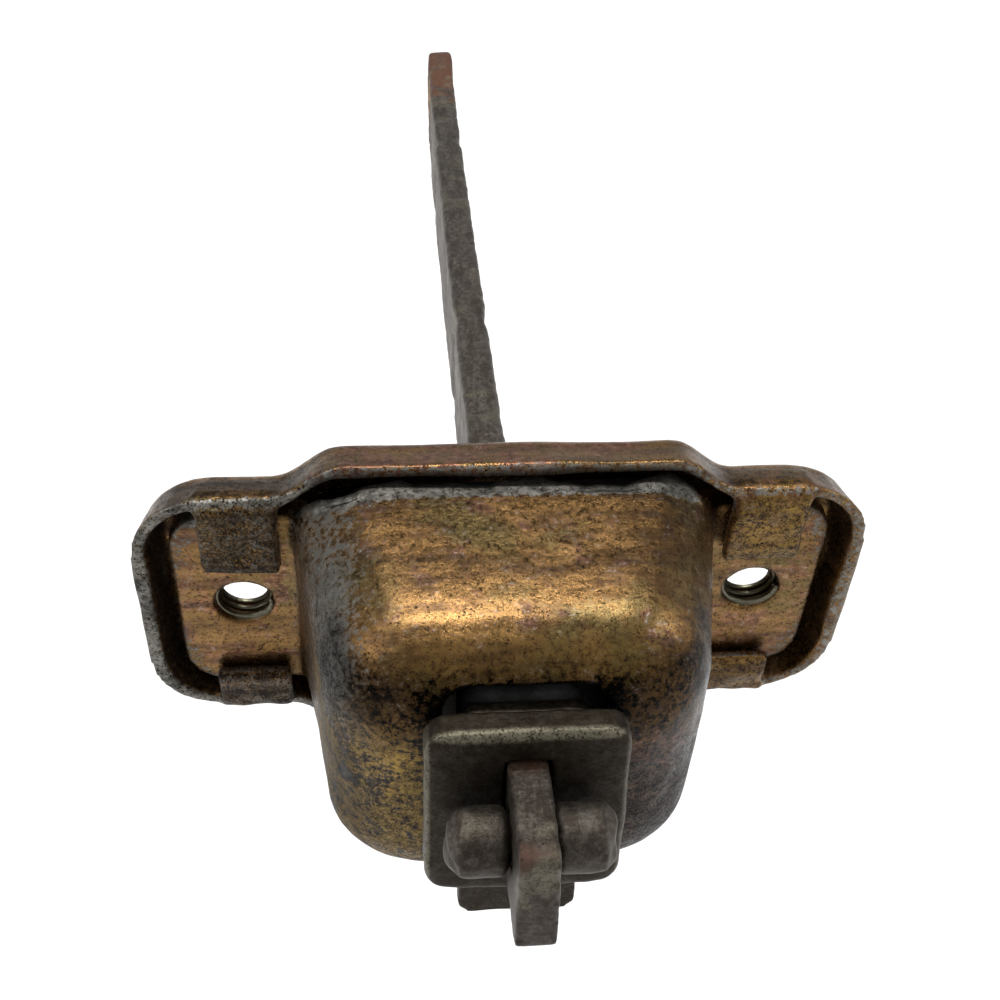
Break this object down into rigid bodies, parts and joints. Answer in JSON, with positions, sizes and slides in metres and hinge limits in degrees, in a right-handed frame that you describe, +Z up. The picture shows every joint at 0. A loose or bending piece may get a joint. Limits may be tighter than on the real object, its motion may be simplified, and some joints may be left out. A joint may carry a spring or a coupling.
{
  "type": "door check",
  "caption": "Vehicle door check: drawn steel housing crimped in a rimmed mounting plate, with a flat arm that slides and swings through it between sprung rollers.",
  "frame": {"origin": "middle of the mounting face, which is the flat back of the mounting plate, midway between the two bolt holes", "axes": "+X from one bolt hole to the other, +Y out of the mounting face along the arm, +Z up"},
  "size_m": [0.0782, 0.2055, 0.0602],
  "materials": {
    "yellow_zinc": "worn yellow-passivated zinc, satin",
    "pink_zinc": "worn yellow-passivated zinc with a copper cast",
    "bare_steel": "pitted dull steel with rust stains",
    "arm_steel": "aged dark steel with brown streaks",
    "inner_steel": "oiled bright steel",
    "spring_steel": "drawn wire, oiled",
    "bronze": "sintered, matt",
    "acetal": "moulded, matt",
    "rubber": "moulded black rubber"
  },
  "bodies": {
    "base": {"mounting_plate": "pink_zinc", "housing": "yellow_zinc", "seal_plate": "rubber", "left_pivot_bush": "acetal", "right_pivot_bush": "acetal"},
    "cage": {"cage_frame": "inner_steel", "cage_lid": "inner_steel", "front_arm_guide": "acetal", "rear_arm_guide": "acetal", "left_spring": "spring_steel", "right_spring": "spring_steel"},
    "left_fork": {"left_roller_fork": "inner_steel", "left_roller_axle": "inner_steel"},
    "right_fork": {"right_roller_fork": "inner_steel", "right_roller_axle": "inner_steel"},
    "left_roller_body": {"left_roller": "inner_steel"},
    "right_roller_body": {"right_roller": "inner_steel"},
    "arm": {"check_arm": "arm_steel", "eye_bush": "bronze", "stop_plate": "bare_steel", "buffer_carrier": "bare_steel", "rubber_buffer": "rubber", "cross_pin": "bare_steel"}
  },
  "joints": [
    {"name": "cage_swing", "type": "hinge", "parent": "base", "child": "cage", "pos_m": [0, -0.0135, 0], "axis": [1, 0, 0], "range_deg": [-3.4, 15]},
    {"name": "arm_slide", "type": "slide", "parent": "cage", "child": "arm", "axis": [0, -0.9829, 0.184], "range_m": [0, 0.125]},
    {"name": "left_fork_slide", "type": "slide", "parent": "cage", "child": "left_fork", "axis": [-1, 0, 0], "range_m": [0, 0.0008], "stiffness_N_per_m": 20000, "springref_m": -0.0005, "deforming": ["left_spring"]},
    {"name": "left_roller_spin", "type": "hinge", "parent": "left_fork", "child": "left_roller_body", "pos_m": [-0.00575, -0.0135, 0], "axis": [0, 0.184, 0.9829], "continuous": true},
    {"name": "right_fork_slide", "type": "slide", "parent": "cage", "child": "right_fork", "axis": [1, 0, 0], "range_m": [0, 0.0008], "stiffness_N_per_m": 20000, "springref_m": -0.0005, "deforming": ["right_spring"]},
    {"name": "right_roller_spin", "type": "hinge", "parent": "right_fork", "child": "right_roller_body", "pos_m": [0.00575, -0.0135, 0], "axis": [0, 0.184, 0.9829], "continuous": true}
  ]
}
